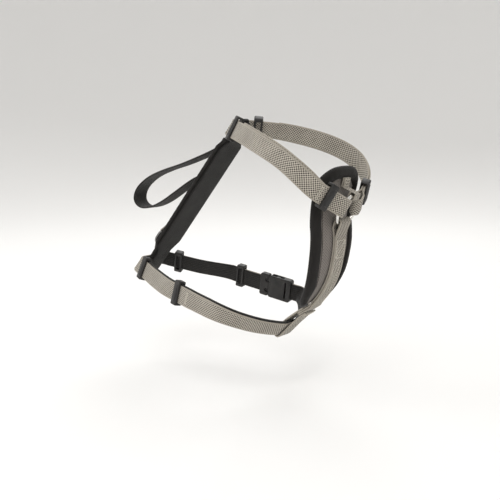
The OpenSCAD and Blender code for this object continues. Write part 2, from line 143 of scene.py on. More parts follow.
class Wire:
    """A node's output that can be used in arithmetic. Each operation adds a Math node."""

    def __init__(self, tree, socket=None):
        self.tree = tree
        self.socket = socket

    def node(self, kind, settings=None, sockets=None, out=0):
        """Adds any node: its settings first, then values or links for its sockets."""
        made = self.tree.nodes.new(kind)
        for key, value in (settings or {}).items():
            if key == "stops":
                for stop, (place, colour) in zip(made.color_ramp.elements, value):
                    stop.position = place
                    stop.color = colour
            else:
                setattr(made, key, value)
        for key, value in (sockets or {}).items():
            if isinstance(value, Wire):
                self.tree.links.new(value.socket, made.inputs[key])
            else:
                made.inputs[key].default_value = value
        return Wire(self.tree, made.outputs[out])

    def maths(self, operation, *others):
        values = dict(enumerate((self,) + others))
        return self.node("ShaderNodeMath", {"operation": operation}, values)

    def __add__(self, other):
        return self.maths("ADD", other)

    __radd__ = __add__

    def __sub__(self, other):
        return self.maths("SUBTRACT", other)

    def __rsub__(self, other):
        return self.node("ShaderNodeMath", {"operation": "SUBTRACT"}, {0: other, 1: self})

    def __mul__(self, other):
        return self.maths("MULTIPLY", other)

    __rmul__ = __mul__

    def sine(self):
        return self.maths("SINE")

    def cosine(self):
        return self.maths("COSINE")

    def between(self, low, high):
        """0 below low, 1 above high, smooth between them."""
        return self.node("ShaderNodeMapRange", {"interpolation_type": "SMOOTHSTEP"},
                         {0: self, 1: low, 2: high})

    def mix(self, first, second):
        """A colour that goes from first to second as this value goes from 0 to 1."""
        return self.node("ShaderNodeMix", {"data_type": "RGBA"},
                         {"Factor": self, 6: first, 7: second}, out=2)

    def noise(self, scale, detail):
        """Noise on a vector, such as a piece's Object coordinates."""
        return self.node("ShaderNodeTexNoise", {}, {"Vector": self, "Scale": scale, "Detail": detail})

    def axis(self, name):
        return self.node("ShaderNodeSeparateXYZ", {}, {0: self}, out=name)


class Finish:
    """A material with one Principled shader, and the coordinates that its pattern reads."""

    def __init__(self, name, **constants):
        self.material = bpy.data.materials.new(name)
        self.material.use_nodes = True
        self.tree = self.material.node_tree
        self.shader = self.tree.nodes["Principled BSDF"]
        for key, value in constants.items():
            self.shader.inputs[key.replace("_", " ")].default_value = value
        blank = Wire(self.tree)
        self.place = blank.node("ShaderNodeTexCoord", out="Object")
        self.cloth = blank.node("ShaderNodeTexCoord", out="UV")

    def drive(self, socket, wire):
        self.tree.links.new(wire.socket, self.shader.inputs[socket])

    def bump(self, height, depth, strength):
        self.drive("Normal", height.node("ShaderNodeBump", {}, {
            "Height": height, "Distance": depth, "Strength": strength}))


def rgb(red, green, blue):
    return (red, green, blue, 1.0)


def knit(name, light, dark, pitch):
    """Fine knitted cloth: small round loops in offset rows, with soft uneven shade."""
    cloth = Finish(name, Sheen_Weight=0.08, Sheen_Roughness=0.4, Specular_IOR_Level=0.3)
    along = cloth.cloth.axis("X") * (pi / pitch)
    across = cloth.cloth.axis("Y") * (pi / pitch)
    loops = (along + across).sine() * (along - across).sine()
    shade = cloth.place.noise(60, 3)
    cloth.drive("Base Color", (loops.between(-0.9, 0.9) * 0.6 + shade * 0.4).mix(dark, light))
    cloth.drive("Roughness", 0.95 - shade * 0.2)
    cloth.bump(loops * 0.5 + shade, pitch * 0.35, 0.6)
    return cloth


border_cloth = knit("border_knit", rgb(0.016, 0.0135, 0.012), rgb(0.005, 0.0045, 0.004), 0.0011)
lining_cloth = knit("lining_mesh", rgb(0.024, 0.022, 0.020), rgb(0.007, 0.0065, 0.006), 0.0017)

back_top = Vector((-0.019, 0, 0.117))
back_dir = Vector((-0.64, 0, -0.768)).normalized()
back_out = Vector((back_dir.z, 0, -back_dir.x))
back_start = -0.012
back_length = 0.232
back_face = 0.004


def on_back(along, off, side=0.0):
    """A point by its distance down the strip, its height off it and its place across it."""
    return back_top + float(along) * back_dir + float(off) * back_out + Vector((0, side, 0))


def grid_on(name, points, run, across):
    """A grid primitive laid on rows of points, which wrap into a tube with shut ends.
    Its UV map is in metres: run along the rows, and across them."""
    rows, columns = points.shape[:2]
    piece = fresh_primitive(bpy.ops.mesh.primitive_grid_add, name, x_subdivisions=columns - 1,
                            y_subdivisions=rows - 1, size=1)
    sheet = piece.data
    flat = np.empty(len(sheet.vertices) * 3)
    sheet.vertices.foreach_get("co", flat)
    flat = flat.reshape(-1, 3)
    row = np.rint((flat[:, 1] + 0.5) * (rows - 1)).astype(int)
    column = np.rint((flat[:, 0] + 0.5) * (columns - 1)).astype(int)
    corner = np.empty(len(sheet.loops), dtype=int)
    sheet.loops.foreach_get("vertex_index", corner)
    uv = np.stack([np.asarray(run)[row[corner]], np.asarray(across)[column[corner]]], 1)
    sheet.uv_layers.active.data.foreach_set("uv", uv.ravel())
    sheet.vertices.foreach_set("co", points[row, column].ravel())
    sheet.update()
    bpy.ops.object.mode_set(mode="EDIT")
    bpy.ops.mesh.select_all(action="SELECT")
    bpy.ops.mesh.remove_doubles(threshold=1e-6)
    bpy.ops.mesh.select_all(action="SELECT")
    bpy.ops.mesh.fill_holes(sides=0)
    bpy.ops.mesh.select_all(action="SELECT")
    bpy.ops.mesh.normals_make_consistent(inside=False)
    bpy.ops.object.mode_set(mode="OBJECT")
    return piece


def run_along(line):
    """The distance along a line of points at each of them."""
    return np.concatenate([[0.0], np.cumsum(np.linalg.norm(np.diff(line, axis=0), axis=1))])


def select_only(piece):
    bpy.ops.object.select_all(action="DESELECT")
    piece.select_set(True)
    bpy.context.view_layer.objects.active = piece


def modify(piece, kind, **settings):
    """Adds a modifier to a piece and applies it."""
    select_only(piece)
    modifier = piece.modifiers.new(kind.lower(), kind)
    for key, value in settings.items():
        setattr(modifier, key, value)
    bpy.ops.object.modifier_apply(modifier=modifier.name)


def smooth(piece, angle):
    select_only(piece)
    bpy.ops.object.shade_smooth_by_angle(angle=radians(angle))


def place_piece(piece, finish, body, slot, *nodes):
    """Gives a finished piece its material and body, and the CAD nodes it stands for. The slot is not
    used.
    A piece with no body is left unattached."""
    piece.data.materials.clear()
    piece.data.materials.append(finish.material)
    if body:
        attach(piece, body)
    if nodes:
        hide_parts(*nodes)


back_half_width = [(back_start, 0.0085), (0.012, 0.0092), (0.026, 0.0200), (0.178, 0.0200),
                   (0.192, 0.0130), (back_length, 0.0125)]
pucker_pitch = 0.0085
end_rounding = 0.006


def level(stops, at):
    """A value read between stops of (place, value)."""
    return np.interp(at, [s[0] for s in stops], [s[1] for s in stops])


def power(value, exponent):
    return np.sign(value) * np.abs(value) ** exponent


def strip_layer(name, low, high, inset, pucker):
    """One layer of the strip, rounded at its edges and drawn in at its ends and its seams."""
    along = np.linspace(back_start + inset, back_length - inset, 141)
    close = np.minimum(along - along[0], along[-1] - along)
    taper = np.minimum(1.0, np.sqrt(close / end_rounding + 0.02))
    half = (level(back_half_width, along) - inset) * (0.6 + 0.4 * taper)
    half = half * (1 + pucker * np.sin(2 * pi * along / pucker_pitch))
    turn = np.linspace(0, 2 * pi, 33)
    side = half[:, None] * power(np.cos(turn), 0.35)[None]
    swell = ((high - low) / 2 * (0.35 + 0.65 * taper))[:, None]
    rise = (low + high) / 2 + swell * power(np.sin(turn), 0.55)[None]
    points = (np.array(back_top)[None, None] + along[:, None, None] * np.array(back_dir)
              + rise[..., None] * np.array(back_out) + side[..., None] * np.array((0, 1, 0)))
    return grid_on(name, points, along, run_along(points[len(along) // 2]))


def place_pad(pad, finish, slot, node):
    """Gives a padded layer of the harness its shading, material and CAD node."""
    smooth(pad, 60)
    place_piece(pad, finish, "harness", slot, node)


back_pad = strip_layer("back_strip_padding", low=-0.002, high=back_face, inset=0, pucker=0.008)
place_pad(back_pad, border_cloth, "padded_border", "back_pad")
back_lining = strip_layer("back_strip_lining", low=-back_face, high=-0.0021, inset=0.0015, pucker=0)
place_pad(back_lining, lining_cloth, "lining_mesh", "back_pad_lining")


# ---- spine strap ----
# Tweed webbing sewn flat on the strip. It folds round the D ring's bar and is sewn on itself.
# The tweed is woven from pale and dark yarn in small checks, with a plain edge.

webbing_width = 0.020
webbing_thickness = 0.0018
layer_gap = 0.0003
slide_gap = 0.0004
under_step = 0.0015
layer_off = (webbing_thickness + layer_gap) / 2
doubled = 2 * webbing_thickness + layer_gap
bend_steps = 12
fold_steps = 20
weave_step = 0.0009
check_size = 0.0030
check_relief = 0.00010
rib_size = 0.0024
yarn_size = 0.00085
bound_edge = 0.0016
other_side = Vector((1, -1, 1))


def leg(points, i):
    return (points[i + 1] - points[i]).normalized()


def square_to(axis, direction):
    return (axis - axis.dot(direction) * direction).normalized()


def route(points, axes, reach):
    """Stations of (place, direction, width axis) on straight legs with a bend at each point."""
    stations = [(points[0], leg(points, 0), axes[0])]
    for i in range(1, len(points) - 1):
        before = min(reach[i - 1], (points[i] - points[i - 1]).length / 2.04)
        after = min(reach[i], (points[i + 1] - points[i]).length / 2.04)
        start = points[i] - before * leg(points, i - 1)
        stop = points[i] + after * leg(points, i)
        for k in range(bend_steps + 1):
            f = k / bend_steps
            place = start.lerp(points[i], f).lerp(points[i].lerp(stop, f), f)
            direction = (points[i] - start).lerp(stop - points[i], f).normalized()
            stations.append((place, direction, axes[i - 1].lerp(axes[i], f)))
    stations.append((points[-1], leg(points, len(points) - 2), axes[-1]))
    return stations


def layer(stations, off, step=0.0):
    """Sections of (middle, width direction, outward direction) of one layer of a strap."""
    sections = []
    for place, direction, axis in stations:
        width_way = square_to(axis, direction)
        out = direction.cross(width_way)
        sections.append((place + off * out + step * width_way, width_way, out))
    return sections


def mirrored(sections):
    """The same sections on the dog's other side."""
    return [tuple(part * other_side for part in section) for section in sections]


def fold(centre, radius, ahead, first, axis):
    """Sections of a half turn round a bar: from its first side, by way of ahead, to the other."""
    turns = np.linspace(pi / 2, -pi / 2, fold_steps + 1)
    ways = [cos(a) * ahead + sin(a) * first for a in turns]
    return [(centre + radius * way, axis, way) for way in ways]


def read_at(at, run, vectors):
    """Vectors read between their places along a run."""
    vectors = np.array(vectors)
    return np.stack([np.interp(at, run, vectors[:, k]) for k in range(3)], 1)


def unit(vectors):
    return vectors / np.linalg.norm(vectors, axis=1, keepdims=True)


def webbing(name, sections, width, thickness, relief, pattern):
    """A strap through sections, with rounded edges. Its relief is the height of the weave."""
    places, sides, outs = zip(*sections)
    run = run_along(np.array(places))
    at = np.linspace(0, run[-1], max(2, round(run[-1] / weave_step)) + 1)
    middle = read_at(at, run, places)
    side = unit(read_at(at, run, sides))
    out = unit(read_at(at, run, outs))
    edge = thickness / 2 if thickness < 0.003 else thickness / 2.5
    flat = np.linspace(edge - width / 2, width / 2 - edge, round((width - 2 * edge) / weave_step))
    far_edge = np.radians([60, 25, -25, -60])
    near_edge = np.radians([240, 205, 155, 120])
    across = np.concatenate([flat, width / 2 - edge + edge * np.cos(far_edge), flat[::-1],
                             edge - width / 2 + edge * np.cos(near_edge), flat[:1]])
    rise = thickness / 2 * np.concatenate([np.ones(len(flat)), np.sin(far_edge), -np.ones(len(flat)),
                                           np.sin(near_edge), np.ones(1)])
    woven = relief * pattern(at[:, None], across[None]) * np.sign(rise)[None]
    points = (middle[:, None] + across[None, :, None] * side[:, None]
              + (rise[None] + woven)[..., None] * out[:, None])
    piece = grid_on(name, points, at, across)
    smooth(piece, 55)
    return piece


def checks(along, across):
    return np.cos(2 * pi * along / check_size) * np.cos(2 * pi * across / check_size)


def ribs(along, across):
    return np.cos(2 * pi * across / rib_size)


def tint(red, green, blue):
    """A paint-chart colour, 0 to 255, as a shader colour."""
    return rgb(*[(value / 255) ** 2.2 for value in (red, green, blue)])


def woven_finish(name, light, dark, edge_colour, width, checked):
    """Webbing: yarns over and under, checks or ribs, and a plain bound edge."""
    cloth = Finish(name, Specular_IOR_Level=0.25, Sheen_Weight=0.15, Sheen_Roughness=0.6)
    along = cloth.cloth.axis("X")
    across = cloth.cloth.axis("Y")
    yarns = (along * (2 * pi / yarn_size)).sine() * (across * (2 * pi / yarn_size)).sine()
    fuzz = cloth.place.noise(900, 2)
    if checked:
        check = (along * (2 * pi / check_size)).cosine() * (across * (2 * pi / check_size)).cosine()
        mask = (check + (fuzz - 0.5) * 0.5).between(-0.28, 0.22)
    else:
        mask = (across * (2 * pi / rib_size)).cosine().between(-1.0, 1.4)
    worn = cloth.place.noise(45, 3).between(0.35, 0.75)
    colour = (mask * 0.86 + yarns * 0.07 + worn * 0.10).mix(dark, light)
    edge = across.maths("ABSOLUTE").between(width / 2 - bound_edge, width / 2 - bound_edge + 0.0007)
    cloth.drive("Base Color", edge.mix(colour, edge_colour))
    cloth.drive("Roughness", 0.92 - mask * 0.12)
    cloth.bump(yarns * 0.5 + fuzz * 0.5 + mask * 0.6, 0.00022, 0.8)
    return cloth


pale_yarn = tint(198, 191, 178)
dark_yarn = tint(58, 51, 44)
edge_yarn = tint(158, 151, 139)
tweed = woven_finish("tweed_weave", pale_yarn, dark_yarn, edge_yarn, webbing_width, True)
thread_finish = Finish("sewing_thread", Base_Color=tint(196, 190, 178))
dark_thread_finish = Finish("dark_thread", Base_Color=tint(58, 53, 48))
for finish in (thread_finish, dark_thread_finish):
    finish.drive("Roughness", 0.6 + finish.place.noise(1500, 2) * 0.3)

thread = 0.00036
stitch = 0.0030


def tweed_strap(name, sections, *nodes, body="harness"):
    """A length of tweed webbing in its usual size. One with no body is left unattached."""
    strap = webbing(name, sections, webbing_width, webbing_thickness, check_relief, checks)
    place_piece(strap, tweed, body, "tweed_webbing", *nodes)
    return strap


def round_tube(name, line, side, out, radius, sides, run):
    """A round tube on a line of centres, with side and out as its section's axes at each."""
    turn = np.linspace(0, 2 * pi, sides + 1)[:, None]
    rings = np.cos(turn) * side[:, None] + np.sin(turn) * out[:, None]
    return grid_on(name, line[:, None] + radius * rings, run, radius * turn[:, 0])


def stitches(name, paths, finish, slot):
    """Rows of stitches. Each path is a list of (place on the surface, outward direction).
    The thread stands proud in the middle of a stitch and dips into the cloth at its ends."""
    rows = []
    for path in paths:
        places, outs = zip(*path)
        run = run_along(np.array(places))
        count = max(1, round(run[-1] / stitch))
        at = np.linspace(0, run[-1], count * 6 + 1)
        centre = read_at(at, run, places)
        out = unit(read_at(at, run, outs))
        side = unit(np.cross(unit(np.gradient(centre, axis=0)), out))
        lift = thread * (1.9 * np.abs(np.sin(pi * count * at / run[-1])) ** 0.6 - 1.1)
        rows.append(round_tube(name, centre + lift[:, None] * out, side, out, thread, 5, at))
    select_only(rows[0])
    for row in rows[1:]:
        row.select_set(True)
    if len(rows) > 1:
        bpy.ops.object.join()
    smooth(rows[0], 70)
    place_piece(rows[0], finish, "harness", slot)


d_bar = 0.168
d_wire = 0.0035
d_off = back_face + layer_gap + webbing_thickness + slide_gap + d_wire / 2
d_fold = d_wire / 2 + slide_gap + webbing_thickness / 2
spine_start = 0.094
spine_low = back_face + layer_gap + webbing_thickness / 2
spine_high = spine_low + webbing_thickness + layer_gap
spine_axis = Vector((0, 1, 0))
spine_sections = [(on_back(spine_start, spine_low), spine_axis, -back_out),
                  (on_back(d_bar, spine_low), spine_axis, -back_out)]
spine_sections += fold(on_back(d_bar, d_off), d_fold, back_dir, -back_out, spine_axis)[1:]
for along, off in ((d_bar - 0.006, spine_high + 0.0022), (d_bar - 0.014, spine_high + 0.0002),
                   (spine_start + 0.002, spine_high)):
    spine_sections.append((on_back(along, off), spine_axis, back_out))
tweed_strap("spine_webbing", spine_sections, "spine_strap")

spine_top = spine_high + webbing_thickness / 2


def box_path(point_at, half_long, half_wide):
    """A box stitch with a cross in it. point_at gives the place and direction at (x, y)."""
    turns = [(-1, -1), (1, -1), (1, 1), (-1, 1), (-1, -1), (1, 1)]
    path = []
    for (x0, y0), (x1, y1) in zip(turns, turns[1:]):
        for k in range(6):
            f = k / 6
            path.append(point_at((x0 + (x1 - x0) * f) * half_long, (y0 + (y1 - y0) * f) * half_wide))
    path.append(point_at(half_long, half_wide))
    return path


def point_on_back(middle, face):
    """Gives the place and direction at (x, y) from a middle on the back, at a face's height."""
    return lambda x, y: (on_back(middle + x, face, y), back_out)


edge_row = webbing_width / 2 - 0.0022
stitches(
    "spine_stitching",
    [box_path(point_on_back(middle, spine_top), 0.007, 0.007) for middle in (0.146, 0.104)]
    + [[(on_back(a, spine_top, y), back_out) for a in (0.112, 0.138)] for y in (-edge_row, edge_row)],
    thread_finish, "tweed_webbing",
)
stitches(
    "back_strip_edge_stitching",
    [[(on_back(a, back_face - 0.0006, side * (level(back_half_width, a) - 0.0042)), back_out)
      for a in np.linspace(0.030, 0.222, 60)] for side in (-1, 1)],
    dark_thread_finish, "padded_border",
)


# ---- D ring ----
# The back leash ring is bent from dark nickel-plated wire, with a straight bar inside the
# spine strap's fold. Its ends are welded at the middle of the bar.


def plated(name, base):
    """Polished plate with faint scratches and slightly duller patches."""
    metal = Finish(name, Metallic=1.0)
    patches = metal.place.noise(160, 3)
    scratches = metal.place.noise(2200, 2)
    dull = rgb(*[0.72 * part for part in base])
    metal.drive("Base Color", patches.between(0.3, 0.7).mix(rgb(*base), dull))
    metal.drive("Roughness", 0.10 + patches * 0.16 + scratches * 0.06)
    metal.bump(scratches, 0.00003, 0.4)
    return metal


def wire_loop(name, line, normal, radius, sides):
    """A round wire that runs along a closed line, in a plane with this normal."""
    line = np.array(line)
    way = unit(np.roll(line, -1, axis=0) - np.roll(line, 1, axis=0))
    out = np.array([normal] * len(line))
    side = unit(np.cross(way, out))
    order = list(range(len(line))) + [0]
    run = run_along(line[order])
    piece = round_tube(name, line[order], side[order], out[order], radius, sides, run)
    smooth(piece, 70)
    return piece


def arc(centre_x, centre_y, radius, start, stop, steps):
    return [(centre_x + radius * cos(radians(start + (stop - start) * k / steps)),
             centre_y + radius * sin(radians(start + (stop - start) * k / steps)))
            for k in range(steps + 1)]


d_half = webbing_width / 2 + 0.003
d_leg = 0.008
d_corner = 0.003
d_outline = ([(0, y) for y in np.linspace(-0.009, 0.009, 13)]
             + arc(d_corner, d_half - d_corner, d_corner, 180, 90, 8)
             + arc(d_leg, 0, d_half, 90, -90, 48)
             + arc(d_corner, d_corner - d_half, d_corner, 270, 180, 8))
d_line = [on_back(d_bar + x, d_off, y) for x, y in d_outline]
d_ring = wire_loop("d_ring_wire", d_line, back_out, d_wire / 2, 16)
dark_nickel = plated("dark_nickel_plate", (0.20, 0.195, 0.19))
place_piece(d_ring, dark_nickel, "d_ring", "dark_nickel", "d_ring")


# ---- handle ----
# A grab loop of plain black ribbed webbing. Both its ends lie on the strip and are sewn down
# with a box stitch.

handle_width = 0.022
black_weave = woven_finish("black_weave", tint(38, 35, 31), tint(13, 12, 10), tint(30, 28, 25),
                           handle_width, False)
handle_rise = 0.0128
handle_loop = [(-0.101, 0.075), (-0.128, 0.068), (-0.156, 0.058), (-0.177, 0.043), (-0.182, 0.027),
               (-0.168, 0.018), (-0.140, 0.025)]
handle_points = [on_back(0.018, spine_low), on_back(0.031, spine_low), on_back(0.046, handle_rise)]
handle_points += [Vector((x, 0, z)) for x, z in handle_loop]
handle_points += [on_back(0.088, handle_rise), on_back(0.074, spine_low), on_back(0.062, spine_low)]
handle_legs = len(handle_points) - 1
handle_route = route(handle_points, [spine_axis] * handle_legs, [0.020] * handle_legs)
handle = webbing("handle_webbing", layer(handle_route, 0), handle_width, webbing_thickness,
                 0.00012, ribs)
place_piece(handle, black_weave, None, "black_webbing", "handle", "handle_anchor_upper",
            "handle_anchor_lower")
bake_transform(handle)
anchor_face = spine_low + webbing_thickness / 2
stitches("handle_stitching",
         [box_path(point_on_back(middle, anchor_face), 0.0045, 0.008) for middle in (0.0245, 0.068)],
         dark_thread_finish, "black_webbing")


# ---- chest ring ----
# A welded round ring of bright nickel-plated wire. It leans forward on the chest, and every
# strap that pulls on the dog's front folds round it.

ring_at = Vector((0.120, 0, 0.036))
ring_radius = 0.017
ring_wire = 0.004
ring_lean = radians(25)
ring_pull = radians(21)
ring_steps = 120
ring_up = Vector((sin(ring_lean), 0, cos(ring_lean)))
ring_out = Vector((cos(ring_lean), 0, -sin(ring_lean)))
ring_line = [ring_at + ring_radius * (cos(a) * ring_up + sin(a) * Vector((0, 1, 0)))
             for a in np.linspace(0, 2 * pi, ring_steps, endpoint=False)]
chest_ring = wire_loop("chest_ring_wire", ring_line, ring_out, ring_wire / 2, 24)
bright_nickel = plated("bright_nickel_plate", (0.90, 0.88, 0.84))
place_piece(chest_ring, bright_nickel, "chest_ring", "bright_nickel", "chest_ring")


# ---- neck strap ----
# One length of tweed webbing each side, from the withers round the neck to the chest ring.
# It folds round the ring and runs back underneath itself, double almost all the way.

neck_half = 0.064


def sag(width):
    """Depth of the ring's curve across a strap's width."""
    return ring_radius - sqrt(ring_radius * ring_radius - width * width / 4)


ring_sag = sag(webbing_width)
ring_play = 0.0006
ring_fold = ring_wire / 2 + ring_play + webbing_thickness / 2
neck_fold = ring_fold + 0.0009
neck_axis = Vector((0.515, 0, 0.857))
ring_tangent = Vector((cos(ring_pull) * ring_up.x, sin(ring_pull), cos(ring_pull) * ring_up.z))
ring_end = ring_at + (ring_radius - ring_sag) * Vector((
    sin(ring_pull) * ring_up.x, -cos(ring_pull), sin(ring_pull) * ring_up.z))
withers_half = 0.008
withers_at = 0.004
strap_on_pad = back_face + layer_gap + webbing_thickness + layer_gap / 2
neck_points = [
    on_back(withers_at, strap_on_pad, -withers_half), Vector((0.012, -0.038, 0.113)),
    Vector((0.050, -0.9 * neck_half, 0.103)), Vector((0.080, -neck_half, 0.091)),
    Vector((0.101, -0.97 * neck_half, 0.076)), Vector((0.114, -0.050, 0.059)), ring_end,
]
neck_axes = [-back_dir, neck_axis, neck_axis, neck_axis, neck_axis.lerp(ring_tangent, 0.5), ring_tangent]
neck_reach = [0.013, 0.030, 0.030, 0.030, 0.030, 0.008]
neck_route = route(neck_points, neck_axes, neck_reach)
end_place, end_way, end_axis = neck_route[-1]
end_side = square_to(end_axis, end_way)
end_out = end_way.cross(end_side)
fold_start = end_place - (ring_sag + ring_wire) * end_way
spread_start = fold_start - 0.008 * end_way
neck_sections = layer(neck_route[:-1], layer_off)
neck_sections.append((spread_start + layer_off * end_out, end_side, end_out))
neck_sections.append((fold_start + neck_fold * end_out, end_side, end_out))
neck_sections += fold(end_place, neck_fold, end_way, end_out, end_side)
neck_sections.append((fold_start - neck_fold * end_out, end_side, -end_out))
neck_sections.append((spread_start - layer_off * end_out, end_side, -end_out))
for i in range(len(neck_route) - 2, 3, -1):
    step = under_step * min(1.0, (len(neck_route) - 2 - i) / bend_steps)
    place, side, out = layer([neck_route[i]], -layer_off, step)[0]
    neck_sections.append((place, side, -out))

for side_name, sections in (("right", neck_sections), ("left", mirrored(neck_sections))):
    tweed_strap("neck_webbing_" + side_name, sections, "neck_strap_" + side_name)

patch_half = 0.0088
patch_cover = 0.0008
patch_sections = [(on_back(withers_at, strap_on_pad, y), back_dir, back_out)
                  for y in (-patch_half, 0, patch_half)]
withers_patch = webbing("withers_patch_webbing", patch_sections, webbing_width + patch_cover,
                        doubled + patch_cover, check_relief, checks)
place_piece(withers_patch, tweed, "harness", "tweed_webbing", "withers_patch")
patch_top = strap_on_pad + (doubled + patch_cover) / 2
stitches("withers_patch_stitching", [box_path(point_on_back(withers_at, patch_top), 0.0075, 0.0055)],
         thread_finish, "tweed_webbing")


# ---- strap sliders ----
# Moulded black plastic frames that slide along a doubled strap. Each has a thick crowned bar
# outside, and two thin bars underneath that the strap is laced over.

slider_length = 0.010
slider_bar = 0.0026
slider_under = 0.0018
slider_rail = 0.0026
tunnel_width = webbing_width + under_step + 2 * slide_gap + 0.0004
tunnel_thickness = doubled + 2 * slide_gap
slider_width = tunnel_width + 2 * slider_rail
slider_low = -tunnel_thickness / 2 - slider_under
slider_high = tunnel_thickness / 2 + slider_bar

black_plastic = Finish("moulded_black_plastic", Specular_IOR_Level=0.45)
grain = black_plastic.place.noise(1400, 3)
handling = black_plastic.place.noise(120, 3)
black_plastic.drive("Base Color", handling.between(0.35, 0.7).mix(tint(26, 25, 24), tint(40, 38, 36)))
black_plastic.drive("Roughness", 0.34 + handling * 0.14 + grain * 0.08)
black_plastic.bump(grain, 0.00005, 0.5)


def block(name, low, high):
    """A box between two corners, from a cube primitive."""
    low, high = Vector(low), Vector(high)
    cube = fresh_primitive(bpy.ops.mesh.primitive_cube_add, name, size=1)
    for corner in cube.data.vertices:
        for k in range(3):
            corner.co[k] = (low[k] + high[k]) / 2 + corner.co[k] * (high[k] - low[k])
    return cube


def round_edges(piece, width, segments, angle=30):
    modify(piece, "BEVEL", width=width, segments=segments, limit_method="ANGLE",
           angle_limit=radians(angle))


def combine(piece, operation, *tools):
    """Joins blocks to a piece (UNION) or cuts them out of it (DIFFERENCE)."""
    for tool in tools:
        modify(piece, "BOOLEAN", operation=operation, object=tool, solver="EXACT")
        bpy.data.objects.remove(tool)


def strap_frame(points, axes, i, along, left):
    """Axes on a strap's straight leg: X along it, Y across it and Z outward."""
    way = leg(points, i)
    side = square_to(axes[i], way)
    parts = (points[i] + along * way, way, side, way.cross(side))
    return mirrored([parts])[0] if left else parts


def place_moulded(piece, axes, body, node):
    """Moves a moulded piece from the origin to its strap, and gives it its body and CAD node."""
    smooth(piece, 50)
    origin, way, side, out = axes
    for vertex in piece.data.vertices:
        x, y, z = vertex.co
        vertex.co = origin + x * way + y * side + z * out
    if way.cross(side).dot(out) < 0:
        piece.data.flip_normals()
    piece.data.update()
    place_piece(piece, black_plastic, body, "black_plastic", node)


middle = under_step / 2
crown_half = 0.0095
gap_end = slider_length / 2 - 0.0025
gap_half = tunnel_width / 2 - 0.0015
slider_model = block("slider_frame", (-slider_length / 2, middle - slider_width / 2, slider_low),
                     (slider_length / 2, middle + slider_width / 2, slider_high))
round_edges(slider_model, 0.0014, 4)
crown = block("slider_crown", (-0.0026, middle - crown_half, slider_high - 0.001),
              (0.0026, middle + crown_half, slider_high + 0.0006))
round_edges(crown, 0.0007, 3)
combine(slider_model, "UNION", crown)
combine(
    slider_model, "DIFFERENCE",
    block("tunnel", (-slider_length, middle - tunnel_width / 2, -tunnel_thickness / 2),
          (slider_length, middle + tunnel_width / 2, tunnel_thickness / 2)),
    block("lacing_gap", (-gap_end, middle - gap_half, slider_low - 0.002),
          (gap_end, middle + gap_half, 0)),
)
round_edges(slider_model, 0.00035, 2, 50)

# The girth strap's route is set here, because its sliders need their places on it.
girth_half = 0.070
girth_axis = Vector((0.69, 0, 0.72))
tail_at = 0.219
tail_corner = 0.022
girth_rear_points = [on_back(tail_at, strap_on_pad), on_back(tail_at, strap_on_pad, -tail_corner),
                     Vector((-0.116, -0.6 * girth_half, -0.057)),
                     Vector((-0.084, -0.8 * girth_half, -0.061))]
belly_end = [Vector((0.046, -0.014, -0.098)), Vector((0.046, -layer_gap, -0.098))]
girth_points = girth_rear_points + [
    Vector((-0.030, -0.98 * girth_half, -0.068)), Vector((0.012, -girth_half, -0.077)),
    Vector((0.036, -0.66 * girth_half, -0.089))] + belly_end
girth_axes = [-back_dir] + [girth_axis] * 7
girth_reach = [0.008, 0.008, 0.030, 0.008, 0.030, 0.030, 0.030, 0.005]
girth_left_points = girth_rear_points + [
    Vector((0.020, -girth_half, -0.079)), Vector((0.038, -0.66 * girth_half, -0.090))] + belly_end
girth_left_axes = [-back_dir] + [girth_axis] * 6
girth_left_reach = [0.008, 0.008, 0.030, 0.008, 0.030, 0.030, 0.005]

back_leg = 1
side_leg = 3
last_neck_leg = len(neck_points) - 2
chest_slider_at = (neck_points[-1] - neck_points[-2]).length - 0.026
slider_places = {
    "shoulder_slider_right": (neck_points, neck_axes, 0, 0.020, False),
    "shoulder_slider_left": (neck_points, neck_axes, 0, 0.020, True),
    "chest_slider_right": (neck_points, neck_axes, last_neck_leg, chest_slider_at, False),
    "chest_slider_left": (neck_points, neck_axes, last_neck_leg, chest_slider_at, True),
    "back_slider_right": (girth_points, girth_axes, back_leg, 0.022, False),
    "back_slider_left": (girth_left_points, girth_left_axes, back_leg, 0.022, True),
    "side_slider_right": (girth_points, girth_axes, side_leg, 0.026, False),
    "side_slider_left": (girth_left_points, girth_left_axes, side_leg, 0.019, True),
}
for node, spot in slider_places.items():
    slider = slider_model.copy()
    slider.data = slider_model.data.copy()
    slider.name = node + "_frame"
    slider.data.name = slider.name
    bpy.context.collection.objects.link(slider)
    place_moulded(slider, strap_frame(*spot), node, node)
bpy.data.objects.remove(slider_model)


# ---- chest shield ----
# A curved panel of spacer mesh between a padded border and a soft lining. The border is foam
# in black knitted cloth, turned over and sewn down with a row of stitches along the mesh.

border_width = 0.012
border_thickness = 0.008
panel_thickness = 0.004
chest_bend = 4.2
slope_span = 0.004
shield = np.array([
    (-67, 80, 19), (-56, 90, 25), (-45, 98, 30), (-28, 105.5, 34.5), (-4, 110, 36.5),
    (12, 110.5, 36.5), (24, 109, 36.5), (40, 110.5, 37), (52, 113, 37.5), (60, 115.5, 37.5),
    (69, 117.5, 34), (76, 119, 25), (80, 120, 12),
]) / 1000


def shield_half(z):
    return np.interp(z, shield[:, 0], shield[:, 2])


def shield_depth(z):
    """Forward place of the shield's middle line at a height, smoothed over a short span."""
    spans = [np.interp(z + d, shield[:, 0], shield[:, 1]) for d in np.linspace(-0.006, 0.006, 7)]
    return float(sum(spans) / 7 - border_thickness / 2)


def face_at(y, z):
    return Vector((shield_depth(z) - chest_bend * y * y, y, z))


def face_out(y, z):
    rise = (shield_depth(z + slope_span) - shield_depth(z - slope_span)) / (2 * slope_span)
    return Vector((1, 2 * chest_bend * y, -rise)).normalized()


